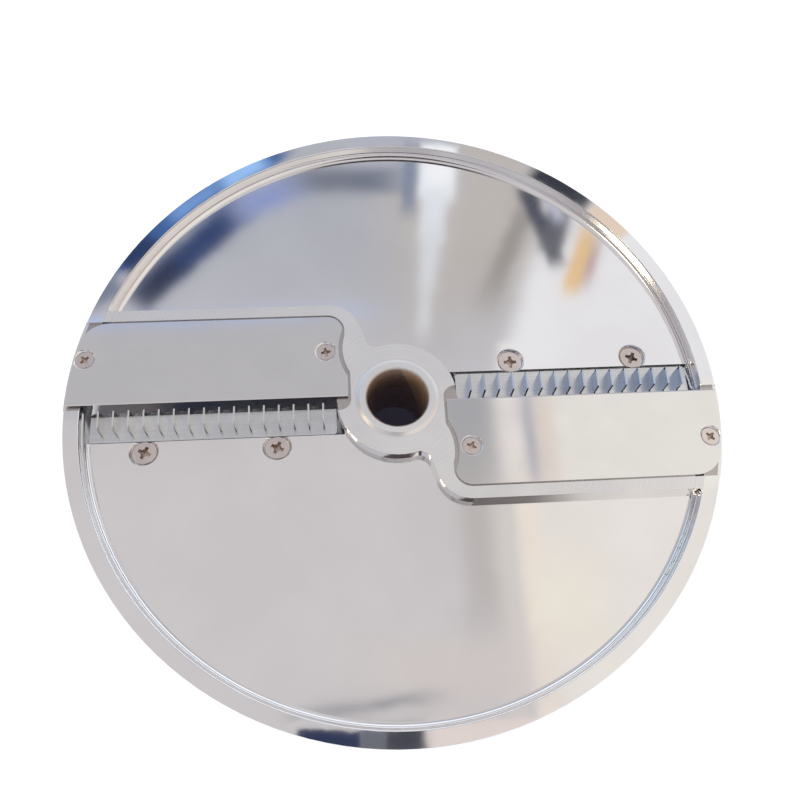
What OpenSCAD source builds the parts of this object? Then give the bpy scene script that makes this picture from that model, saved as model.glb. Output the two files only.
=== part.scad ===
// Julienne disc for a vegetable cutter: a machined aluminium disc that carries two slicing blades,
// each with a comb of upright teeth ahead of its edge.
// The disc lies flat, cutting side up, and stands on the end of its hub sleeve at z = 0.
// Its two halves are alike, half a turn apart. The lengths below are given for the half whose blade
// points to -X: X runs along the blade, Y across it, and the comb lies on the -Y side of the edge.

/* [Disc] */
// Outside diameter of the disc
disc_d = 205; // [190:1:220]
// Thickness of the disc at its rim
rim_t = 10; // [9.5:0.25:14]
// Width of the flat on top of the rim, its outer chamfer included
rim_w = 5.1; // [4.8:0.1:6.5]
// Chamfer round the top of the rim
rim_chamfer = 0.7; // [0.2:0.1:1.5]
// Chamfer round the underside of the rim
under_chamfer = 1; // [0.2:0.1:2]
// Depth of the two food floors below the rim, which is the thickness of a slice
floor_depth = 4.2; // [3.6:0.1:4.6]
// Radius at the foot of the turned wall round each floor
floor_cove = 1.7; // [0.8:0.1:2]
// Height of the step that the two turning cuts leave in that wall, above the cove
wall_step = 0.3; // [0.1:0.05:0.5]

/* [Hub] */
// Diameter of the bore for the drive shaft
bore_d = 19; // [16:0.5:20]
// Height of the hub sleeve below the disc
sleeve_h = 21.2; // [12:0.2:30]
// Outside diameter of the hub sleeve
sleeve_d = 34; // [30:0.5:36]
// Diameter of the round land at the middle of the disc
hub_d = 37.5; // [36.5:0.1:38.5]
// Diameter of the raised boss round the bore
boss_d = 26; // [24:0.2:28]
// Height of the boss above the rim
boss_h = 0.8; // [0.4:0.1:2]
// Width of the sloping shoulder round the boss
boss_slope = 1.1; // [0.4:0.1:1.4]
// Width of the groove across the sleeve's end for the drive pin
drive_groove_w = 6; // [5:0.5:8]
// Depth of that groove
drive_groove_h = 6; // [5:0.5:9]

/* [Slicing blades] */
// Thickness of a blade
blade_t = 1.2; // [1:0.05:1.6]
// Width of a blade from its cutting edge to its back
blade_w = 28.1; // [26:0.1:29]
// How far the cutting edge stands past the disc's middle line
blade_edge_y = 1.1; // [0.8:0.1:1.6]
// Gap between a blade and the walls of its seat
blade_gap = 0.55; // [0.3:0.05:0.8]
// How far a blade's outer end stays inside the rim
blade_end_inset = 0.9; // [0.5:0.1:1.2]
// Length of the ground bevel under the cutting edge
blade_bevel = 3.2; // [2:0.1:4]
// Width of the honed strip along the top of the edge
blade_hone = 0.35; // [0.2:0.05:0.5]
// Width of the raised rib behind each blade
rib_w = 3.8; // [3.5:0.05:5]

/* [Throats] */
// Length of blade that hangs free over the throat
blade_overhang = 8.4; // [7:0.1:9]
// How far the throats and combs reach in from the rim's inner edge
throat_end_inset = 0.9; // [0.6:0.1:1.4]
// Length of the ramp that carries the strips away under each blade
throat_ramp = 9.5; // [8:0.1:10]
// Thickness of the seat's lip at the top of that ramp
throat_lip = 1.4; // [1.1:0.1:2]

/* [Combs] */
// Clear width between two teeth, which is the width of a strip
tooth_gap = 4; // [3:0.25:8]
// Thickness of a tooth
tooth_t = 0.54; // [0.45:0.01:0.58]
// Length of a tooth along the cut
tooth_l = 6; // [5:0.1:7]
// Length of the sharpened nose at the top of a tooth's leading end
tooth_nose = 1.25; // [0.8:0.05:2]
// How far the teeth stand above the rim
tooth_rise = 0.7; // [0.3:0.1:1]
// Depth of a tooth's tang in the bar
tooth_tang = 1.6; // [1:0.1:2]
// Least distance between the last tooth and the bar's end
tooth_end_room = 2; // [1.5:0.1:3.5]
// Width of the comb bar's top
bar_w = 9.9; // [9.6:0.1:10]
// Gap between the bar's outer end and the end of the throat
bar_end_gap = 1.5; // [0.5:0.1:3]
// Gap between the bar's inner end and the hub
bar_hub_gap = 0.45; // [0.3:0.05:2]
// How far the bar's top lies below the food floor
bar_drop = 0.8; // [0.5:0.1:1.1]
// Width of the bevel along the bar's blade side
bar_bevel_w = 1.4; // [1:0.1:1.4]
// Height of that bevel
bar_bevel_h = 0.5; // [0.3:0.1:0.8]
// Gap between the bar and the edge of the food floor
bar_gap = 0.5; // [0.3:0.05:0.8]
// Thickness of the bar's foot, which is screwed up under the floor
foot_t = 2.6; // [2.2:0.1:3]
// Width of the foot beyond the bar
foot_w = 8.7; // [8:0.1:10]

/* [Screws] */
// Thread diameter of the blade screws
blade_screw_d = 3; // [2.5:0.1:3.2]
// Head diameter of the blade screws
blade_head_d = 5.3; // [4.9:0.1:5.7]
// Length of the blade screws, head included
blade_screw_l = 6; // [5:0.1:6.2]
// Distance of a blade's outer screw from the disc's edge
blade_screw_out = 5.3; // [5:0.1:8]
// Distance of a blade's inner screw from the inner wall of the seat
blade_screw_in = 6.1; // [5.5:0.1:12]
// Distance of the blade screws behind the cutting edge
blade_screw_y = 15.7; // [15:0.1:16]
// Thread diameter of the comb screws
comb_screw_d = 4; // [3.5:0.1:4.2]
// Head diameter of the comb screws
comb_head_d = 7; // [6.6:0.1:7.4]
// Distance between the two screws of a comb
comb_screw_pitch = 40.4; // [38:0.1:42]
// Depth of the blade screws' heads below the blade's face
blade_head_sink = 0.55; // [0.4:0.05:0.6]
// Depth of the comb screws' heads below the food floor
comb_head_sink = 0.8; // [0.5:0.05:0.9]
// Gap round each screw head in its countersink
head_gap = 0.2; // [0.1:0.05:0.3]
// Width across a screw's cross recess, as a share of its head
recess_share = 0.58; // [0.5:0.01:0.65]
// Width of one arm of the cross recess, as a share of its head
recess_arm = 0.15; // [0.12:0.01:0.2]
// Width of the round pit in the middle of the cross recess, as a share of its head
recess_pit = 0.34; // [0.28:0.01:0.4]

/* [Hidden] */
$fn = 96;
eps = 0.01;
over = 5;

disc_r = disc_d / 2;
bore_r = bore_d / 2;
sleeve_r = sleeve_d / 2;
hub_r = hub_d / 2;
boss_r = boss_d / 2;
bore_chamfer = 0.6;
sleeve_chamfer = 0.8;

// Heights
under_z = sleeve_h;
rim_z = sleeve_h + rim_t;
floor_z = rim_z - floor_depth;
seat_z = rim_z - blade_t;
bar_z = floor_z - bar_drop;
foot_z = under_z + foot_t;
boss_z = rim_z + boss_h;

// Turned wall round the food floors
wall_r = disc_r - rim_w;
wall_chamfer = 0.3;
wall_draft = 0.3;

// Blade seat: the pocket's walls, its rounded corners and the lobe that the cutter leaves by the hub
seat_front_y = -0.5;
seat_back_y = blade_edge_y + blade_w + blade_gap;
seat_hub_wall = 1.45;
seat_neck = 1.4;
seat_hub_x = -(boss_r + seat_hub_wall);
seat_neck_x = seat_hub_x - seat_neck;
seat_corner_r = 5.5;
lobe_r = 3.7;
lobe_x = seat_hub_x - lobe_r;
lobe_y = 0.2;

// Bulge of the seat's wall beside the inner screw, and the notch in the blade that follows it
bulge_r = 16.5;
bulge_x = -0.1;
bulge_y = 17.4;
notch_gap = 1.35;
notch_r = bulge_r + notch_gap;

// Blade outline
blade_r = disc_r - blade_end_inset;
blade_back_y = blade_edge_y + blade_w;
blade_hub_gap = 0.85;
blade_hub_x = seat_hub_x - blade_hub_gap;
blade_neck_x = seat_neck_x - blade_gap;
blade_corner_r = seat_corner_r - blade_gap;
blade_tip_r = 9;
blade_edge_t = 0.12;
hone_h = 0.08;

// Rib and hub land: round corner of the rib, its leaning side, and the fillet where that meets the hub
rib_corner_r = 10.8;
rib_y = seat_back_y + rib_w;
rib_corner = [seat_neck_x - seat_corner_r, rib_y - rib_corner_r];
rib_lean = 18;
rib_out = [cos(rib_lean), sin(rib_lean)];
rib_down = [sin(rib_lean), -cos(rib_lean)];
rib_shoulder = rib_corner + rib_corner_r * rib_out;
rib_fillet_r = 3.5;
rib_end_r = 1.2;
fillet_bite = 0.02;

// Throat under each blade
throat_r = wall_r - throat_end_inset;
throat_hub_gap = 0.2;
throat_hub_cut = 1.95;
throat_hub_x = -(hub_r - throat_hub_cut);
bar_back_y = 0.4;
bar_front_y = bar_back_y - bar_w;
throat_front_y = bar_front_y - bar_gap;
throat_back_y = blade_edge_y + blade_overhang;
bar_undercut = 1.4;
foot_y = bar_front_y - foot_w;
foot_clear = 0.2;
foot_root = 3;
bar_x = -(throat_r - bar_end_gap);
bar_hub_x = -(hub_r + bar_hub_gap);
bar_l = bar_hub_x - bar_x;
bar_mid_x = bar_x + bar_l / 2;
bar_corner_r = 1;

// Screws
blade_screws = [-(disc_r - blade_screw_out), seat_neck_x - blade_screw_in];
blade_screw_line = blade_edge_y + blade_screw_y;
comb_screw_shift = 0.8;
comb_screw_x = bar_mid_x - comb_screw_shift - comb_screw_pitch / 2;
comb_screws = [comb_screw_x, comb_screw_x + comb_screw_pitch];
comb_head_reach = 0.3;
comb_screw_line = throat_front_y - comb_head_d / 2 + comb_head_reach;
head_rim = 0.25;
recess_depth_share = 0.3;

// How far each screw's cross recess is turned: half a then half b, outer screw then inner
blade_screw_turns = [[40, 10], [45, -27]];
comb_screw_turns = [[-25, -25], [-25, 0]];

// Teeth
tooth_pitch = tooth_gap + tooth_t;
teeth = floor((bar_l - 2 * tooth_end_room - tooth_t) / tooth_pitch) + 1;
tooth_shift = 0.1;
tooth_margin = 0.25;
tooth_front_y = bar_back_y - bar_bevel_w - tooth_margin - tooth_l;
tooth_h = rim_z + tooth_rise - bar_z;
nose_foot = 0.3;

halves = ["a", "b"];
function half_index(half) = half == "a" ? 0 : 1;
function two_digits(n) = n < 10 ? str("0", n) : str(n);
function tooth_name(half, i) = str("comb_tooth_", half, "_", two_digits(i));
function pair_names(stem) = [for (half = halves, i = [1, 2]) str(stem, "_", half, "_", i)];

// Turns a shape drawn for half a into its place on half a or half b
module on_half(half) {
    rotate([0, 0, half == "a" ? 0 : 180])
        children();
}

// Runs a section drawn in Y and Z along X, from x0 to x1
module along_x(x0, x1) {
    translate([x0, 0, 0])
        rotate([90, 0, 90])
            linear_extrude(height = x1 - x0)
                children();
}

// Section of the turned blank: rim, disc, boss and hub sleeve, as radius and height
module blank_section() {
    polygon([
        [0, 0],
        [sleeve_r - sleeve_chamfer, 0],
        [sleeve_r, sleeve_chamfer],
        [sleeve_r, under_z],
        [disc_r - under_chamfer, under_z],
        [disc_r, under_z + under_chamfer],
        [disc_r, rim_z - rim_chamfer],
        [disc_r - rim_chamfer, rim_z],
        [boss_r, rim_z],
        [boss_r - boss_slope, boss_z],
        [0, boss_z]
    ]);
}

// Section of the space turned out above the food floors, with its drafted wall, step and cove
module floor_section() {
    cove_r = wall_r - wall_chamfer - wall_draft - wall_step;
    step_z = floor_z + floor_cove;
    translate([0, floor_z])
        square([cove_r - floor_cove, floor_depth + over]);
    translate([cove_r - floor_cove, step_z])
        intersection() {
            circle(floor_cove);
            translate([-floor_cove, -floor_cove])
                square([2 * floor_cove, floor_cove]);
        }
    polygon([
        [0, step_z],
        [cove_r, step_z],
        [cove_r + wall_step, step_z],
        [wall_r - wall_chamfer, rim_z - wall_chamfer],
        [wall_r, rim_z],
        [wall_r, rim_z + over],
        [0, rim_z + over]
    ]);
}

// Plan of the rounded corner between the rib's outer end and the rim
module rib_end_web() {
    reach = wall_r - rib_end_r + fillet_bite;
    centre_y = rib_y + rib_end_r - fillet_bite;
    centre = [-sqrt(reach * reach - centre_y * centre_y), centre_y];
    rim = centre * (disc_r / reach);
    difference() {
        polygon([
            centre,
            rim,
            [rim[0], rib_y - rib_w],
            [centre[0], rib_y - rib_w]
        ]);
        translate(centre)
            circle(rib_end_r);
    }
}

// Plan of what stays at rim level on half a: blade seat block, rib and its run into the hub
module land_plan() {
    foot = rib_shoulder + rib_fillet_r * rib_out;
    reach = hub_r + rib_fillet_r - fillet_bite;
    along = foot * rib_down;
    run = -along - sqrt(along * along - foot * foot + reach * reach);
    fillet = foot + run * rib_down;
    translate([-disc_r - over, seat_front_y])
        square([disc_r + over + rib_corner[0], rib_y - seat_front_y]);
    translate(rib_corner)
        circle(rib_corner_r);
    rib_end_web();
    difference() {
        polygon([
            rib_corner,
            rib_shoulder,
            fillet - (rib_fillet_r - fillet_bite) * rib_out,
            fillet,
            [0, 0],
            [rib_corner[0], seat_front_y]
        ]);
        translate(fillet)
            circle(rib_fillet_r);
    }
}

// Plan of the blade seat on half a
module seat_plan() {
    difference() {
        union() {
            translate([-disc_r - over, seat_front_y])
                square([disc_r + over + lobe_x, seat_back_y - seat_corner_r - seat_front_y]);
            translate([lobe_x, lobe_y])
                circle(lobe_r);
            translate([lobe_x - eps, lobe_y])
                square([lobe_r + eps, bulge_y - lobe_y]);
            translate([-disc_r - over, bulge_y])
                square([disc_r + over + seat_neck_x, seat_back_y - seat_corner_r - bulge_y]);
            translate([-disc_r - over, seat_back_y - 2 * seat_corner_r])
                square([disc_r + over + seat_neck_x - seat_corner_r, 2 * seat_corner_r]);
            translate([seat_neck_x - seat_corner_r, seat_back_y - seat_corner_r])
                circle(seat_corner_r);
        }
        translate([bulge_x, bulge_y])
            circle(bulge_r);
    }
}

// Waste at the blade's outer back corner, outside its rounded tip
module blade_tip_waste() {
    reach = blade_r - blade_tip_r + fillet_bite;
    centre_y = blade_back_y - blade_tip_r + fillet_bite;
    centre = [-sqrt(reach * reach - centre_y * centre_y), centre_y];
    rim = centre * (disc_r / reach);
    difference() {
        polygon([
            centre,
            rim,
            [rim[0] - over, blade_back_y + over],
            [centre[0], blade_back_y + over]
        ]);
        translate(centre)
            circle(blade_tip_r);
    }
}

// Plan of a blade, with its notched inner end and its outer end cut to the rim
module blade_plan() {
    difference() {
        intersection() {
            circle(blade_r);
            union() {
                translate([-disc_r, blade_edge_y])
                    square([disc_r + blade_hub_x, bulge_y - blade_edge_y]);
                translate([-disc_r, bulge_y - eps])
                    square([disc_r + blade_neck_x, blade_back_y - blade_corner_r - bulge_y + eps]);
                translate([-disc_r, bulge_y])
                    square([disc_r + blade_neck_x - blade_corner_r, blade_back_y - bulge_y]);
                translate([blade_neck_x - blade_corner_r, blade_back_y - blade_corner_r])
                    circle(blade_corner_r);
            }
        }
        translate([bulge_x, bulge_y])
            circle(notch_r);
        blade_tip_waste();
    }
}

// Ring in which the throats lie, between the hub and the rim, on the half towards -X
module throat_ring() {
    intersection() {
        difference() {
            circle(throat_r);
            circle(hub_r + throat_hub_gap);
        }
        translate([-disc_r, -disc_r])
            square([disc_r + throat_hub_x, disc_d]);
    }
}

// Everything cut through for one blade and comb: the slot, and the ramp behind it
module throat() {
    intersection() {
        translate([0, 0, under_z - over])
            linear_extrude(height = rim_t + 2 * over)
                throat_ring();
        along_x(-disc_r, 0)
            polygon([
                [throat_front_y, under_z - over],
                [throat_back_y + throat_ramp, under_z - over],
                [throat_back_y + throat_ramp, under_z],
                [throat_back_y, seat_z - throat_lip],
                [throat_back_y, rim_z + over],
                [throat_front_y, rim_z + over]
            ]);
    }
}

// Recess under the food floor that takes the foot of a comb bar
module foot_recess() {
    translate([bar_x - foot_clear, foot_y - foot_clear, under_z - over])
        cube([bar_l + 2 * foot_clear, foot_w + 2 * foot_clear, over + foot_t]);
}

// Countersunk hole for a screw whose head lies sink below the face at face_z
module countersink(head_d, thread_d, sink, face_z, depth) {
    head_z = face_z - sink - head_rim;
    cone_h = (head_d - thread_d) / 2;
    hole_d = head_d + 2 * head_gap;
    translate([0, 0, head_z])
        cylinder(h = sink + head_rim + over, d = hole_d);
    translate([0, 0, face_z - sink])
        cylinder(h = sink + eps, d1 = hole_d, d2 = hole_d + 2 * (sink + eps));
    translate([0, 0, face_z])
        cylinder(h = over, d = hole_d + 2 * sink);
    translate([0, 0, head_z - cone_h])
        cylinder(h = cone_h, d1 = thread_d, d2 = head_d);
    translate([0, 0, face_z - depth])
        cylinder(h = depth, d = thread_d);
}

// The machined disc: rim, floors, ribs, hub and sleeve in one piece
module disc_body() {
    color("silver")
        difference() {
            rotate_extrude()
                blank_section();
            difference() {
                rotate_extrude()
                    floor_section();
                translate([0, 0, floor_z - over])
                    linear_extrude(height = floor_depth + 3 * over) {
                        circle(hub_r);
                        for (half = halves)
                            on_half(half)
                                land_plan();
                    }
            }
            for (half = halves)
                on_half(half) {
                    translate([0, 0, seat_z])
                        linear_extrude(height = blade_t + over)
                            seat_plan();
                    throat();
                    foot_recess();
                    for (x = blade_screws)
                        translate([x, blade_screw_line, 0])
                            countersink(
                                blade_head_d, blade_screw_d, blade_head_sink, rim_z,
                                blade_screw_l + blade_head_sink
                            );
                    for (x = comb_screws)
                        translate([x, comb_screw_line, 0])
                            countersink(comb_head_d, comb_screw_d, comb_head_sink, floor_z, rim_t);
                }
            translate([0, 0, -over])
                cylinder(h = boss_z + 2 * over, r = bore_r);
            translate([0, 0, boss_z - bore_chamfer])
                cylinder(h = bore_chamfer + eps, r1 = bore_r, r2 = bore_r + bore_chamfer + eps);
            translate([0, 0, -eps])
                cylinder(h = bore_chamfer + eps, r1 = bore_r + bore_chamfer + eps, r2 = bore_r);
            translate([-sleeve_r - over, -drive_groove_w / 2, -over])
                cube([2 * (sleeve_r + over), drive_groove_w, over + drive_groove_h]);
        }
}

// A slicing blade: flat plate, sharpened from below, level with the rim
module slicing_blade(half) {
    color("gainsboro")
        on_half(half)
            difference() {
                translate([0, 0, seat_z])
                    linear_extrude(height = blade_t)
                        blade_plan();
                along_x(-disc_r - over, 0)
                    polygon([
                        [blade_edge_y - over, seat_z - over],
                        [blade_edge_y - over, rim_z - blade_edge_t],
                        [blade_edge_y, rim_z - blade_edge_t],
                        [blade_edge_y + blade_bevel, seat_z],
                        [blade_edge_y + blade_bevel, seat_z - over]
                    ]);
                along_x(-disc_r - over, 0)
                    polygon([
                        [blade_edge_y - over, rim_z + over],
                        [blade_edge_y - eps, rim_z - hone_h],
                        [blade_edge_y + blade_hone, rim_z],
                        [blade_edge_y + blade_hone, rim_z + over]
                    ]);
                for (x = blade_screws)
                    translate([x, blade_screw_line, 0])
                        countersink(blade_head_d, blade_screw_d, blade_head_sink, rim_z, blade_screw_l);
            }
}

// Where tooth i of a comb stands
function tooth_x(i) = bar_mid_x - tooth_shift + (i - (teeth + 1) / 2) * tooth_pitch;

// Plan of the comb bar's top, with rounded corners
module bar_plan() {
    translate([bar_x + bar_corner_r, bar_front_y])
        square([bar_l - 2 * bar_corner_r, bar_w]);
    translate([bar_x, bar_front_y + bar_corner_r])
        square([bar_l, bar_w - 2 * bar_corner_r]);
    for (x = [bar_x + bar_corner_r, bar_hub_x - bar_corner_r])
        for (y = [bar_front_y + bar_corner_r, bar_back_y - bar_corner_r])
            translate([x, y])
                circle(bar_corner_r);
}

// A comb bar with its foot, tapped for the two comb screws and slotted from the back for the teeth
module comb_bar(half) {
    color("darkgray")
        on_half(half)
            difference() {
                union() {
                    intersection() {
                        along_x(bar_x, bar_hub_x)
                            polygon([
                                [bar_front_y, bar_z],
                                [bar_back_y - bar_bevel_w, bar_z],
                                [bar_back_y, bar_z - bar_bevel_h],
                                [bar_back_y - bar_undercut, under_z],
                                [bar_front_y, under_z]
                            ]);
                        translate([0, 0, under_z - over])
                            linear_extrude(height = rim_t + 2 * over)
                                bar_plan();
                    }
                    translate([bar_x, foot_y, under_z])
                        cube([bar_l, foot_w + foot_root, foot_t]);
                }
                for (i = [1 : teeth])
                    translate([tooth_x(i) - tooth_t / 2, tooth_front_y, bar_z - tooth_tang])
                        cube([tooth_t, bar_w, tooth_tang + over]);
                for (x = comb_screws)
                    translate([x, comb_screw_line, under_z - over])
                        cylinder(h = rim_t, d = comb_screw_d);
            }
}

// What is ground away on one side of a tooth: its nose is sharp at the top and blunt at the bar
module nose_grind() {
    grind_h = tooth_h - nose_foot;
    turn = atan(tooth_t / (2 * tooth_nose));
    lift = atan(tooth_t * tooth_nose / (2 * grind_h * sqrt(tooth_nose * tooth_nose + tooth_t * tooth_t / 4)));
    translate([0, 0, tooth_h])
        rotate([0, -lift, -turn])
            translate([0, -tooth_h, -2 * tooth_h])
                cube([tooth_h, 2 * tooth_h, 3 * tooth_h]);
}

// One tooth of a comb: a plate that stands upright in its slot of the bar
module comb_tooth(half, i) {
    color("whitesmoke")
        on_half(half)
            translate([tooth_x(i), tooth_front_y, bar_z])
                difference() {
                    translate([-tooth_t / 2, 0, -tooth_tang])
                        cube([tooth_t, tooth_l, tooth_h + tooth_tang]);
                    nose_grind();
                    mirror([1, 0, 0])
                        nose_grind();
                }
}

// A countersunk screw with a cross recess turned by turn; the top of its head is at top_z
module screw(head_d, thread_d, top_z, length, turn) {
    cone_h = (head_d - thread_d) / 2;
    span = recess_share * head_d;
    arm = recess_arm * head_d;
    depth = recess_depth_share * head_d;
    translate([0, 0, top_z])
        difference() {
            union() {
                translate([0, 0, -head_rim])
                    cylinder(h = head_rim, d = head_d);
                translate([0, 0, -head_rim - cone_h])
                    cylinder(h = cone_h, d1 = thread_d, d2 = head_d);
                translate([0, 0, -length])
                    cylinder(h = length - head_rim, d = thread_d);
            }
            for (quarter = [0, 90])
                rotate([0, 0, turn + quarter])
                    translate([-span / 2, -arm / 2, -depth])
                        cube([span, arm, depth + over]);
            translate([0, 0, -depth])
                cylinder(h = depth + eps, d1 = arm, d2 = recess_pit * head_d);
        }
}

// Blade screw i of a half
module blade_screw(half, i) {
    color("lightgray")
        on_half(half)
            translate([blade_screws[i - 1], blade_screw_line, 0])
                screw(
                    blade_head_d, blade_screw_d, rim_z - blade_head_sink, blade_screw_l,
                    blade_screw_turns[half_index(half)][i - 1]
                );
}

// Comb screw i of a half
module comb_screw(half, i) {
    color("lightgray")
        on_half(half)
            translate([comb_screws[i - 1], comb_screw_line, 0])
                screw(
                    comb_head_d, comb_screw_d, floor_z - comb_head_sink, floor_z - comb_head_sink - under_z,
                    comb_screw_turns[half_index(half)][i - 1]
                );
}

disc_body();
for (half = halves) {
    slicing_blade(half);
    comb_bar(half);
    for (i = [1 : teeth])
        comb_tooth(half, i);
    for (i = [1, 2]) {
        blade_screw(half, i);
        comb_screw(half, i);
    }
}
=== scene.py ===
"""Looks of the julienne disc: its metal finishes, the studio around it and the camera."""

import math
from collections import namedtuple

import bpy
from mathutils import Euler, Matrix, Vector


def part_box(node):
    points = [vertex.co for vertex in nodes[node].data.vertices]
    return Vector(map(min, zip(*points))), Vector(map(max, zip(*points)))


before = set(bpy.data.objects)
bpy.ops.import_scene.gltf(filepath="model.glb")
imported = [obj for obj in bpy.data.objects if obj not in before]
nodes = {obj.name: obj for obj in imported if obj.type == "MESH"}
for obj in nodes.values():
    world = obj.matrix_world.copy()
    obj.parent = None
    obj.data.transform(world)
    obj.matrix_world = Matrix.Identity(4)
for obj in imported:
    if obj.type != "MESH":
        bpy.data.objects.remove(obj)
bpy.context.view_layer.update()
MM = 0.001

# Sizes read from the frame, in metres
DISC_LOW, DISC_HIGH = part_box("disc_body")
DISC_R = DISC_HIGH.x
RIM_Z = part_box("slicing_blade_a")[1].z
SEAT_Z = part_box("slicing_blade_a")[0].z

# Sizes of the disc body that no node's box gives, as its source has them
FLOOR_Z = RIM_Z - 4.2 * MM
UNDER_Z = RIM_Z - 10 * MM
RIM_SIDE_R = DISC_R - 1 * MM
WALL_R = DISC_R - 5.1 * MM
WALL_TOP_Z = RIM_Z - 0.4 * MM
WALL_LEAN = (2.2, 0.3)
COVE_SIZE = 1.7 * MM
COVE_R = WALL_R - 0.9 * MM
COVE_FOOT_Z = FLOOR_Z + 0.02 * MM
STEP_Z = FLOOR_Z + COVE_SIZE
BORE_R = 9.5 * MM
BORE_CHAMFER = 0.4 * MM
NEAR = 0.1 * MM

# How much a face looks up: flat ones, those of the bore's wall, and those of the underside
FLAT_LIFT = 0.9
WALL_LIFT = 0.5
UNDER_LIFT = -0.7

# Camera, fitted to the photograph
CAMERA_AT = (-14.27 * MM, -103.38 * MM, 275.51 * MM)
CAMERA_TURN = (22.729, -2.665, -3.417)
CAMERA_LENS = 38.28
CAMERA_SENSOR = 36
CAMERA_SHIFT = (-0.01, 0.003)
CAMERA_NEAREST = 0.01


def tone(r, g, b):
    """A display colour, from 0 to 255, as the linear colour that the renderer uses."""
    return tuple(
        c / 255 / 12.92 if c <= 10 else ((c / 255 + 0.055) / 1.055) ** 2.4 for c in (r, g, b)
    )


class Graph:
    """Adds nodes to a shader's node tree; a socket given as an input is linked, a number is set."""

    def __init__(self, tree):
        self.tree = tree
        tree.nodes.clear()

    def add(self, kind, inputs=None, **settings):
        node = self.tree.nodes.new("ShaderNode" + kind)
        for name, value in settings.items():
            setattr(node, name, value)
        for name, value in (inputs or {}).items():
            if isinstance(value, bpy.types.NodeSocket):
                self.tree.links.new(value, node.inputs[name])
            elif isinstance(value, tuple) and node.inputs[name].type == "RGBA":
                node.inputs[name].default_value = (*value[:3], 1)
            else:
                node.inputs[name].default_value = value
        return node

    def math(self, operation, a, b=0.0, c=0.0):
        return self.add("Math", {0: a, 1: b, 2: c}, operation=operation).outputs[0]

    def vector(self, operation, a, b=(0.0, 0.0, 0.0), c=(0.0, 0.0, 0.0)):
        node = self.add("VectorMath", {0: a, 1: b, 2: c}, operation=operation)
        return node.outputs["Value" if operation == "DISTANCE" else "Vector"]

    def above(self, value, limit):
        return self.math("GREATER_THAN", value, limit)

    def below(self, value, limit):
        return self.math("LESS_THAN", value, limit)

    def within(self, value, middle, reach):
        return self.math("COMPARE", value, middle, reach)

    def both(self, first, *others):
        for other in others:
            first = self.math("MULTIPLY", first, other)
        return first

    def either(self, a, b):
        return self.math("MAXIMUM", a, b)

    def mix(self, amount, a, b):
        return self.add("Mix", {0: amount, 6: a, 7: b}, data_type="RGBA").outputs[2]

    def blend(self, amount, a, b):
        return self.add("Mix", {0: amount, 2: a, 3: b}, data_type="FLOAT").outputs[0]

    def span(self, value, low, high, to_low=0.0, to_high=1.0, smooth=False):
        """value from low..high carried to to_low..to_high."""
        node = self.add("MapRange", {0: value, 1: low, 2: high, 3: to_low, 4: to_high})
        node.interpolation_type = "SMOOTHSTEP" if smooth else "LINEAR"
        return node.outputs[0]

    def noise(self, vector, scale, detail=3.0, rough=0.5):
        inputs = {"Vector": vector, "Scale": scale, "Detail": detail, "Roughness": rough}
        return self.add("TexNoise", inputs).outputs[0]

    def spread(self, noise):
        """A noise, most of which lies about its middle, spread out over 0 to 1."""
        return self.span(noise, 0.3, 0.7, 0, 1, True)


# Materials

Spot = namedtuple("Spot", "at x y z radius lift lean fine drift")
Finish = namedtuple("Finish", "light dark shine relief depth marks", defaults=(None, 0.0, 0.0))

# Waves of the fine grain to a metre, and how far it stirs a finish's roughness
GRAIN = 900.0
GRAIN_STIR = 0.35


def place(g, cloud):
    """Where a shaded point is, in metres, its distance from the axis, which way its face looks,
    and the fine grain and the slow drift, of cloud waves to a metre, that its finishes share."""
    at = g.add("TexCoord").outputs["Object"]
    x, y, z = g.add("SeparateXYZ", {0: at}).outputs
    radius = g.math("SQRT", g.math("ADD", g.math("MULTIPLY", x, x), g.math("MULTIPLY", y, y)))
    facing = g.add("NewGeometry").outputs["True Normal"]
    _, lean, lift = g.add("SeparateXYZ", {0: facing}).outputs
    drift = g.spread(g.noise(at, cloud, 3.0, 0.55))
    return Spot(at, x, y, z, radius, lift, lean, g.noise(at, GRAIN, 1.0, 0.6), drift)


def rings(pitch, along="radius"):
    """The fine rings that a turning tool leaves, about pitch apart, outwards or up a hole."""
    return lambda g, spot: g.add(
        "TexNoise",
        {"W": g.math("DIVIDE", getattr(spot, along), pitch), "Scale": 1.0, "Detail": 2.0},
        noise_dimensions="1D",
    ).outputs[0]


def strokes(pitch, length=60.0):
    """Straight grinding marks along X, about pitch apart and length times as long."""
    scale = (1 / (pitch * length), 1 / pitch, 1 / pitch)
    return lambda g, spot: g.noise(g.vector("MULTIPLY", spot.at, scale), 1.0, 4.0, 0.6)


def swell(size):
    """The slow waves that polishing leaves, about size across."""
    return lambda g, spot: g.noise(spot.at, 1 / size, 2.0, 0.5)


def finish_sockets(g, spot, finish):
    """Colour, roughness and relief in metres of one finish; marks is how far its colour follows
    its relief."""
    patchy = g.math("MULTIPLY_ADD", g.math("SUBTRACT", spot.fine, 0.5), GRAIN_STIR, spot.drift)
    relief = finish.relief(g, spot) if finish.relief else spot.fine
    marked = spot.drift
    if finish.marks:
        marked = g.blend(finish.marks, marked, g.spread(relief))
    return (
        g.mix(marked, finish.light, finish.dark),
        g.span(patchy, 0, 1, *finish.shine),
        g.math("MULTIPLY", relief, finish.depth),
    )


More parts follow.
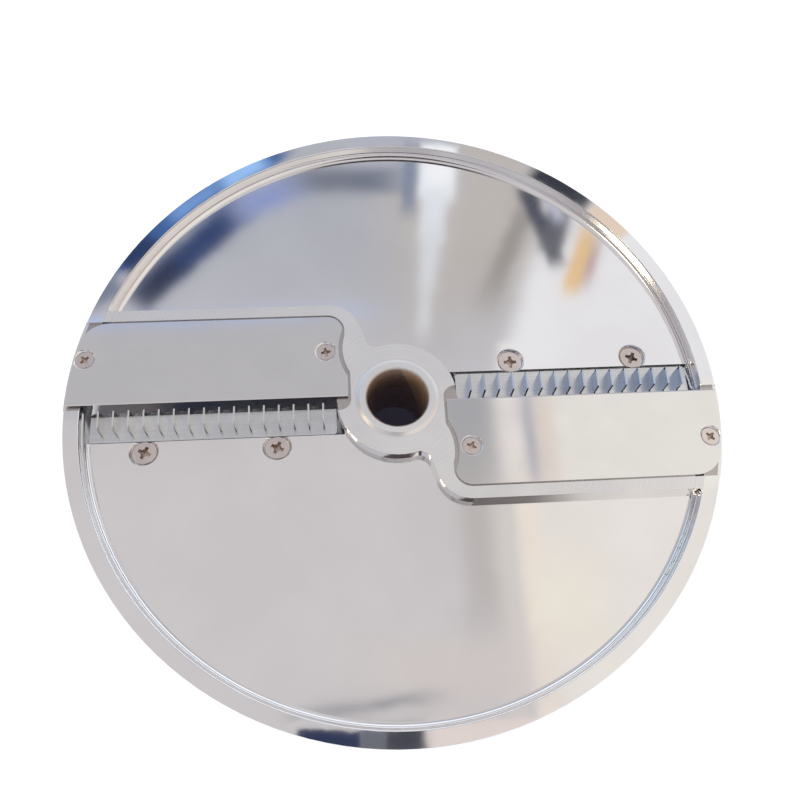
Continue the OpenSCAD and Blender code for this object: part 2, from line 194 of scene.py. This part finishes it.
def metal(name, base, layers=None, facing=None, cloud=60.0):
    """A metal with a base finish and others laid over it, each where its mask is 1.

    layers makes the (mask, finish) pairs, and facing the normal that the relief starts from."""
    material = bpy.data.materials.new(name)
    material.use_nodes = True
    g = Graph(material.node_tree)
    spot = place(g, cloud)
    colour, rough, relief = finish_sockets(g, spot, base)
    for mask, finish in (layers(g, spot) if layers else ()):
        over_colour, over_rough, over_relief = finish_sockets(g, spot, finish)
        colour = g.mix(mask, colour, over_colour)
        rough = g.blend(mask, rough, over_rough)
        relief = g.blend(mask, relief, over_relief)
    bump = {"Strength": 1.0, "Distance": 1.0, "Height": relief}
    if facing:
        bump["Normal"] = facing(g, spot)
    shader = g.add("BsdfPrincipled", {
        "Base Color": colour,
        "Metallic": 1.0,
        "Roughness": rough,
        "Normal": g.add("Bump", bump).outputs[0],
    })
    g.add("OutputMaterial", {"Surface": shader.outputs[0]})
    return material


ALUMINIUM = tone(242, 242, 243)
ALUMINIUM_DULL = tone(236, 235, 236)
STEEL = tone(236, 235, 233)
STEEL_DULL = tone(228, 227, 225)
BORE_SHINE = (0.42, 0.5)
BORE_RINGS = rings(0.5 * MM, "z")

MIRROR = Finish(ALUMINIUM, ALUMINIUM_DULL, (0.02, 0.045), swell(7 * MM), 2.5e-6)
TURNED_FLOOR = Finish(ALUMINIUM, ALUMINIUM_DULL, (0.05, 0.065), rings(0.4 * MM), 2.5e-7, 0.1)
TURNED_LAND = Finish(
    tone(248, 248, 248), tone(226, 226, 227), (0.34, 0.42), rings(0.35 * MM), 3e-6, 0.45)
TURNED_WALL = Finish(ALUMINIUM, ALUMINIUM_DULL, (0.14, 0.2))
MILLED_WALL = Finish(ALUMINIUM, ALUMINIUM_DULL, (0.12, 0.2))
# The seat is milled aluminium; its darker, warmer tone is painted shade in the narrow gap beside
# the blade
SEAT_PAINTED_SHADE = Finish(tone(200, 196, 194), tone(184, 178, 176), (0.2, 0.3), rings(0.5 * MM), 1e-6, 0.3)
# Bored hole: its darker brown tone is painted shade, and the lighter golden copy below is painted
# light on the bore's right wall
BORED_PAINTED_SHADE = Finish(tone(224, 208, 202), tone(176, 156, 150), BORE_SHINE, BORE_RINGS, 2e-6, 0.7)
BORED_PAINTED_LIGHT = Finish(tone(255, 240, 214), tone(232, 206, 172), BORE_SHINE, BORE_RINGS, 2e-6, 0.7)
UNDERSIDE = Finish(ALUMINIUM, ALUMINIUM_DULL, (0.25, 0.35), rings(0.8 * MM), 2e-6, 0.3)
BLADE = Finish(
    tone(234, 233, 234), tone(229, 228, 229), (0.06, 0.08), strokes(0.4 * MM), 2e-7, 0.3)
BAR = Finish(
    tone(228, 230, 233), tone(212, 214, 217), (0.24, 0.32), strokes(0.3 * MM), 1e-6, 0.6)
TOOTH = Finish(STEEL, STEEL_DULL, (0.12, 0.2))
# Painted reflection: a blue tint on the teeth of the comb at +X; painted shade: darker leading and
# trailing faces of a tooth
TOOTH_PAINTED_BLUE_REFLECTION = Finish(tone(192, 208, 230), tone(178, 194, 218), (0.12, 0.2))
TOOTH_NOSE_PAINTED_SHADE = Finish(tone(186, 188, 194), tone(168, 170, 178), (0.2, 0.3))
SCREW = Finish(tone(228, 218, 214), tone(210, 200, 196), (0.16, 0.28))
RECESS = Finish(tone(232, 218, 210), tone(196, 182, 174), (0.4, 0.5))


# Finishes of the CAD nodes. Each node keeps its mesh as it is: its one slot gets a material, and
# the material works out from a point's place which finish belongs there.

# The painted shade in the bore and the painted light beyond it towards +X: where the shade ends at
# the top, its slant, lower down towards +X, and its edge
SHADE_X = 1.2 * MM
SHADE_SLANT = 0.3
SHADE_EDGE = 1 * MM

# Least lean of a tooth's ground ends, and the reach and depth at which a screw's recess starts
NOSE_LEAN = 0.3
RECESS_REACH = 0.62
RECESS_DEPTH = 0.05 * MM
RECESS_LIFT = -0.1


def body_layers(g, spot):
    """Which finish the faces of the disc body have, from the cutter or tool that made them, with
    painted shade on the seat and in the bore, and painted light on the bore's right wall.
    """
    flat = g.above(spot.lift, FLAT_LIFT)
    high = g.above(spot.z, RIM_Z - NEAR)
    by_wall = g.both(
        g.above(spot.radius, COVE_R - COVE_SIZE - NEAR), g.below(spot.radius, WALL_R + NEAR))
    outer = g.above(spot.radius, WALL_R - NEAR)
    in_bore = g.both(g.below(spot.radius, BORE_R + BORE_CHAMFER), g.below(spot.lift, WALL_LIFT))
    # painted light on the bore's wall past a slanting line towards +X; the rest of the bore keeps
    # its painted shade
    slant = g.math("MULTIPLY_ADD", g.math("SUBTRACT", RIM_Z, spot.z), SHADE_SLANT, SHADE_X)
    painted_lit_side = g.span(g.math("SUBTRACT", spot.x, slant), 0, SHADE_EDGE, 0, 1, True)
    return (
        (g.both(flat, g.within(spot.z, SEAT_Z, NEAR)), SEAT_PAINTED_SHADE),
        (g.both(by_wall, g.above(spot.z, FLOOR_Z - NEAR)), TURNED_WALL),
        (g.both(flat, g.within(spot.z, FLOOR_Z, NEAR)), TURNED_FLOOR),
        (high, TURNED_LAND),
        (g.both(high, outer), MIRROR),
        (g.above(spot.radius, RIM_SIDE_R), MIRROR),
        (g.either(g.below(spot.z, UNDER_Z + NEAR), g.below(spot.lift, UNDER_LIFT)), UNDERSIDE),
        (in_bore, BORED_PAINTED_SHADE),
        (g.both(in_bore, painted_lit_side), BORED_PAINTED_LIGHT),
    )


def wall_facing(g, spot):
    """The normal of the turned wall and its cove, true to the round; elsewhere the face's own."""
    by_wall = g.both(g.above(spot.radius, COVE_R - COVE_SIZE), g.below(spot.radius, WALL_R))
    in_cove = g.both(by_wall, g.above(spot.z, COVE_FOOT_Z), g.below(spot.z, STEP_Z - NEAR))
    in_wall = g.both(by_wall, g.above(spot.z, STEP_Z + NEAR), g.below(spot.z, WALL_TOP_Z))
    cove_in = g.math("SUBTRACT", spot.radius, COVE_R - COVE_SIZE)
    cove_up = g.math("SUBTRACT", STEP_Z, spot.z)
    inward = g.blend(in_cove, WALL_LEAN[0], cove_in)
    upward = g.blend(in_cove, WALL_LEAN[1], cove_up)
    share = g.math("DIVIDE", g.math("MULTIPLY", inward, -1.0), spot.radius)
    way = {0: g.math("MULTIPLY", spot.x, share), 1: g.math("MULTIPLY", spot.y, share), 2: upward}
    true = g.vector("NORMALIZE", g.add("CombineXYZ", way).outputs[0])
    own = g.add("NewGeometry").outputs["Normal"]
    chosen = {0: g.either(in_cove, in_wall), 4: own, 5: true}
    return g.add("Mix", chosen, data_type="VECTOR").outputs[1]


def tooth_painted_light_layers(g, spot):
    """Painted reflection: a blue tint over the comb at +X, and painted shade on a tooth's leading
    and trailing faces.
    """
    return (
        (g.above(spot.x, 0.0), TOOTH_PAINTED_BLUE_REFLECTION),
        (g.above(g.math("ABSOLUTE", spot.lean), NOSE_LEAN), TOOTH_NOSE_PAINTED_SHADE),
    )


def recess_layers(name):
    """The cross recess in the head of the screw called name."""
    low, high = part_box(name)
    centre = (low + high) / 2
    reach = RECESS_REACH * (high.x - low.x) / 2

    def layers(g, spot):
        level = g.vector("MULTIPLY", spot.at, (1, 1, 0))
        apart = g.vector("DISTANCE", level, (centre.x, centre.y, 0))
        inside = g.both(g.below(apart, reach), g.below(spot.z, high.z - RECESS_DEPTH))
        return ((g.both(inside, g.above(spot.lift, RECESS_LIFT)), RECESS),)

    return layers


def dress_nodes():
    """Gives each CAD node the material that belongs to its kind."""
    blade = metal("ground_blade", BLADE)
    bar = metal("ground_bar", BAR)
    # the teeth's material carries a painted blue reflection and painted shade on their ends
    tooth = metal("tooth_steel", TOOTH, tooth_painted_light_layers)
    # the body's material carries painted shade on the seat and in the bore, and painted light on
    # the bore's right wall
    body = metal("machined_aluminium_painted_shade_and_light", MILLED_WALL, body_layers, wall_facing, 30)
    for name, node in nodes.items():
        if name.startswith("slicing_blade"):
            material = blade
        elif name.startswith("comb_bar"):
            material = bar
        elif name.startswith("comb_tooth"):
            material = tooth
        elif "screw" in name:
            material = metal("steel_of_" + name, SCREW, recess_layers(name))
        else:
            material = body
        node.material_slots[0].material = material


# How wide each kind of node's edges are broken, in mm, and the least angle of an edge that is
EDGES = {
    "disc_body": (0.08, 50),
    "slicing": (0.08, 32),
    "comb_bar": (0.1, 32),
    "blade_screw": (0.08, 32),
    "comb_screw": (0.1, 32),
}
WELD_WITHIN = 1e-6


def soften(node, width, angle):
    """Breaks the sharp edges of a CAD node by width, as a machined part's edges are.

    It takes modifiers alone, so the node's own mesh stays as it came."""
    weld = node.modifiers.new("weld", "WELD")
    weld.merge_threshold = WELD_WITHIN
    bevel = node.modifiers.new("broken_edges", "BEVEL")
    bevel.width = width
    bevel.segments = 2
    bevel.limit_method = "ANGLE"
    bevel.angle_limit = math.radians(angle)
    bevel.harden_normals = True


def soften_nodes():
    for name, node in nodes.items():
        for start, (width, angle) in EDGES.items():
            if name.startswith(start):
                soften(node, width * MM, angle)


# Studio

MIRROR_TONE = tone(240, 240, 241)


def seen(r, g, b):
    """The light whose reflection in the disc has this display colour."""
    return tuple(c / m for c, m in zip(tone(r, g, b), MIRROR_TONE))


# The room that the disc reflects. Each patch is (across, along, half width, half length, turn,
# softness, colour): where on the sunken floor the camera sees it reflected, in mm from the disc's
# axis, its turn in degrees, and the share of its size over which it fades.
ROOM_TONE = seen(196, 193, 197)
ROOM = (
    # broad light and shade
    (-40, -60, 90, 60, 0, 0.9, seen(202, 198, 199)),
    (-14, 120, 200, 95, 0, 0.5, seen(176, 178, 186)),
    (30, 80, 30, 50, 6, 0.5, seen(188, 182, 179)),
    (494, -280, 460, 300, 0, 0.003, seen(229, 224, 219)),
    (188, -11, 152, 45, -20, 0.03, seen(228, 227, 230)),
    (120, -14, 74, 18, 0, 0.1, seen(234, 231, 225)),
    (22, -12, 8.6, 17, 0, 0.2, seen(168, 168, 172)),
    (35, -12, 4.2, 17, 0, 0.15, seen(236, 231, 227)),
    (41.2, -12, 1.7, 17, 0, 0.25, seen(146, 152, 172)),
    (46, -12, 3, 17, 0, 0.6, seen(226, 214, 204)),
    (37, -62, 3, 32, 0, 0.5, seen(238, 225, 212)),
    (28.5, -62, 2.6, 34, 0, 0.5, seen(213, 207, 203)),
    (22, -45, 4.5, 24, 0, 0.8, seen(185, 180, 178)),
    (12, -82, 22, 8, 0, 0.9, seen(208, 201, 199)),
    (-62, 14, 50, 16, 0, 0.15, seen(186, 185, 188)),
    (-62, 32.6, 46, 2.2, 1, 0.5, seen(176, 190, 222)),
    # far sides of the room
    (-800, 0, 500, 600, 0, 0.08, seen(150, 142, 142)),
    (800, 0, 500, 600, 0, 0.08, seen(228, 214, 204)),
    (0, 620, 1400, 400, 0, 0.1, seen(256, 261, 270)),
    (-14, -290, 62, 130, 0, 0.15, seen(74, 64, 64)),
    (-900, 700, 600, 500, 0, 0.1, seen(176, 210, 236)),
    # window light above the rear edge
    (7, 96, 20, 14, 0, 0.3, seen(176, 178, 190)),
    (-14, 86, 19, 5, -2, 0.6, seen(108, 114, 130)),
    (19.5, 89, 6.5, 12, -8, 0.2, seen(240, 242, 246)),
    (16.6, 71, 4.4, 12, -9, 0.3, seen(222, 226, 232)),
    (14.0, 54, 3.1, 12, -9, 0.4, seen(216, 220, 226)),
    (11.4, 37, 1.9, 12, -7, 0.7, seen(218, 220, 224)),
    (9.4, 86, 2.6, 14, -6, 0.4, seen(122, 132, 154)),
    (42, 56.3, 3, 20, -25.4, 0.7, seen(150, 146, 142)),
    # a dark object and a golden one
    (54, 66, 3, 17, 14, 0.25, seen(52, 58, 78)),
    (60, 66, 4, 12, -20, 0.3, seen(88, 90, 100)),
    (60.5, 72, 2.0, 5, 10, 0.5, seen(196, 198, 216)),
    (66, 51, 2.8, 14, -22, 0.3, seen(226, 190, 136)),
    (70, 50, 1.5, 9, -22, 0.8, seen(176, 150, 148)),
    (64, 82, 4, 12, 50, 0.3, seen(56, 58, 68)),
    (79, 67, 5, 8, 40, 0.2, seen(226, 206, 188)),
    # blue window at the left
    (-66.5, 57.9, 5.6, 23, -44, 0.35, seen(40, 60, 104)),
    (-77, 46, 4, 9, -40, 0.5, seen(42, 48, 74)),
    (-41.5, 79, 10, 4.5, 25, 1.0, seen(132, 148, 202)),
    (-68, 80, 9, 38, -50, 0.15, seen(66, 98, 154)),
    (-50, 91, 4, 9, -55, 0.5, seen(156, 196, 248)),
    (-66, 79, 2.5, 10, -50, 0.6, seen(118, 156, 212)),
    (-84, 58, 4, 7, -48, 0.5, seen(44, 60, 98)),
    (-95, 44, 5, 6, -60, 0.6, seen(120, 128, 150)),
    # the lower floor's thin dark streak and warm patch
    (-13, -90, 17, 1.2, 4, 0.6, seen(140, 140, 146)),
    (46, -66, 9, 14, 0, 0.9, seen(233, 226, 214)),
    # the camera's own reflection, and the light beside it
    (-24, -99.3, 8.8, 3.6, -2, 0.06, seen(44, 54, 82)),
    (-11.8, -99.3, 3.6, 3.6, -2, 0.2, seen(106, 108, 118)),
    (-3.2, -99.3, 5.4, 3.6, -2, 0.1, seen(66, 68, 78)),
    (20, -100, 17, 4.5, 0, 0.15, seen(226, 214, 210)),
)
# How far the patches' outlines waver, in mm, and over what distance, as waves to a mm
RAGGED = 2.6
RAGGED_SCALE = 0.16
# The horizon's tones in front and behind, how they turn into each other, and where the room starts
HORIZON_FRONT = seen(70, 64, 62)
HORIZON_BACK = seen(206, 210, 220)
HORIZON_TURN = (-0.4, 0.4)
HORIZON_RISE = (0.0, 0.22)
FAR_SLOPE = 0.1
SKY_TONE = tone(66, 74, 100)
WHITE = (1.0, 1.0, 1.0)


def patch_mask(g, spot, patch):
    """1 in a patch of the room, fading to 0 round it."""
    centre_x, centre_y, half_w, half_l, turn, softness = patch
    local = g.add("Mapping", {"Vector": spot}, vector_type="TEXTURE")
    local.inputs["Location"].default_value = (centre_x, centre_y, 0)
    local.inputs["Rotation"].default_value = (0, 0, math.radians(turn))
    local.inputs["Scale"].default_value = (half_w, half_l, 1)
    px, py, _ = g.add("SeparateXYZ", {0: local.outputs[0]}).outputs
    extent = g.either(g.math("ABSOLUTE", px), g.math("ABSOLUTE", py))
    return g.span(extent, 1 - softness, 1 + softness, 1, 0, True)


def build_room():
    """The world: white to the camera, a room of light and shade in the metal, and a dim sky."""
    world = bpy.data.worlds.new("room")
    bpy.context.scene.world = world
    world.use_nodes = True
    g = Graph(world.node_tree)
    x, y, z = g.add("SeparateXYZ", {0: g.add("TexCoord").outputs["Generated"]}).outputs
    up = g.either(z, FAR_SLOPE)
    reach = (CAMERA_AT[2] - FLOOR_Z) / MM
    across = g.math("MULTIPLY_ADD", g.math("DIVIDE", x, up), reach, CAMERA_AT[0] / MM)
    along = g.math("MULTIPLY_ADD", g.math("DIVIDE", y, up), reach, CAMERA_AT[1] / MM)
    plain = g.add("CombineXYZ", {0: across, 1: along}).outputs[0]
    stir = g.add("TexNoise", {"Vector": plain, "Scale": RAGGED_SCALE, "Detail": 3.0})
    stir = g.vector("SUBTRACT", stir.outputs["Color"], (0.5, 0.5, 0.5))
    spot = g.vector("MULTIPLY_ADD", stir, (RAGGED, RAGGED, 0), plain)
    colour = ROOM_TONE
    for *patch, patch_tone in ROOM:
        colour = g.mix(patch_mask(g, spot, patch), colour, patch_tone)
    horizon = g.mix(g.span(y, *HORIZON_TURN, 0, 1, True), HORIZON_FRONT, HORIZON_BACK)
    colour = g.mix(g.span(z, *HORIZON_RISE, 0, 1, True), horizon, colour)
    path = g.add("LightPath")
    colour = g.mix(path.outputs["Is Glossy Ray"], SKY_TONE, colour)
    colour = g.mix(path.outputs["Is Camera Ray"], colour, WHITE)
    light = g.add("Background", {"Color": colour, "Strength": 1.0})
    g.add("OutputWorld", {"Surface": light.outputs[0]})


# The floor and the dark sheet of painted shade in the bore, with their sizes in metres and the
# waves to a metre of their tones
FLOOR_REACH = 3.0
FLOOR_DROP = 0.05 * MM
FLOOR_TONES = (tone(246, 246, 246), tone(249, 249, 249))
FLOOR_CLOUD = 3.0
FLOOR_RETURN_TONE = tone(60, 64, 82)
# the dark sheet of painted shade at the foot of the bore
SHADE_SHEET_SIDES = 64
SHADE_SHEET_THICKNESS = 0.5 * MM
SHADE_SHEET_TONES = (tone(24, 22, 30), tone(40, 38, 46))
SHADE_SHEET_MOTTLE = 2500.0


def build_sheet(name, corners, height, paint):
    """A flat matt piece of the studio with its corners at a height, coloured by paint."""
    mesh = bpy.data.meshes.new(name)
    mesh.from_pydata([(x, y, 0) for x, y in corners], [], [range(len(corners))])
    sheet = bpy.data.objects.new(name, mesh)
    bpy.context.scene.collection.objects.link(sheet)
    sheet.location.z = height
    material = bpy.data.materials.new(name)
    material.use_nodes = True
    g = Graph(material.node_tree)
    surface = g.add("BsdfDiffuse", {"Color": paint(g, g.add("TexCoord").outputs["Object"])})
    g.add("OutputMaterial", {"Surface": surface.outputs[0]})
    mesh.materials.append(material)


def paint_floor(g, at):
    """Plain and pale. Light that the floor itself sends back under the disc counts less, so that
    the throats stay dark."""
    pale = g.mix(g.noise(at, FLOOR_CLOUD), *FLOOR_TONES)
    sent_back = g.above(g.add("LightPath").outputs["Diffuse Depth"], 0.5)
    return g.mix(sent_back, pale, FLOOR_RETURN_TONE)


# painted shade: a dark mottled tone for the sheet at the bore's foot
def paint_shade_sheet(g, at):
    return g.mix(g.noise(at, SHADE_SHEET_MOTTLE), *SHADE_SHEET_TONES)


def build_floor():
    """A plain pale floor under the disc, which keeps its shadow."""
    r = FLOOR_REACH
    corners = [(-r, -r), (r, -r), (r, r), (-r, r)]
    build_sheet("studio_floor", corners, DISC_LOW.z - FLOOR_DROP, paint_floor)


def build_shade_sheet():
    """A small dark sheet on the floor inside the hub's sleeve, which only the bore shows: painted
    shade at the foot of the bore.
    """
    turn = 2 * math.pi / SHADE_SHEET_SIDES
    corners = [(BORE_R * math.cos(i * turn), BORE_R * math.sin(i * turn)) for i in range(SHADE_SHEET_SIDES)]
    build_sheet("bore_painted_shade_sheet", corners, DISC_LOW.z + SHADE_SHEET_THICKNESS, paint_shade_sheet)


# Each lamp's place, size, power and colour, and whether the metal shows it
LAMPS = {
    "lamp_above": ((0.0, -0.25, 2.5), 0.42, 70.0, WHITE, False),
    "lamp_left": ((-1.05, -0.21, 0.95), 0.34, 2.2, (1.0, 0.84, 0.58), True),
}


def build_lamp(name, at, size, power, colour, in_metal):
    """A soft square lamp that faces the disc."""
    data = bpy.data.lights.new(name, "AREA")
    data.size = size
    data.energy = power
    data.color = colour
    lamp = bpy.data.objects.new(name, data)
    bpy.context.scene.collection.objects.link(lamp)
    lamp.visible_glossy = in_metal
    lamp.location = at
    lamp.rotation_euler = (-Vector(at)).to_track_quat("-Z", "Y").to_euler()


def build_camera():
    data = bpy.data.cameras.new("camera")
    data.lens = CAMERA_LENS
    data.sensor_width = CAMERA_SENSOR
    data.sensor_fit = "HORIZONTAL"
    data.shift_x, data.shift_y = CAMERA_SHIFT
    data.clip_start = CAMERA_NEAREST
    camera = bpy.data.objects.new("camera", data)
    bpy.context.scene.collection.objects.link(camera)
    camera.location = CAMERA_AT
    camera.rotation_euler = Euler([math.radians(angle) for angle in CAMERA_TURN])
    bpy.context.scene.camera = camera


dress_nodes()
soften_nodes()
build_room()
build_floor()
# a dark sheet of painted shade at the bore's foot
build_shade_sheet()
for lamp_name, lamp in LAMPS.items():
    build_lamp(lamp_name, *lamp)
build_camera()
bpy.context.scene.view_settings.view_transform = "Standard"
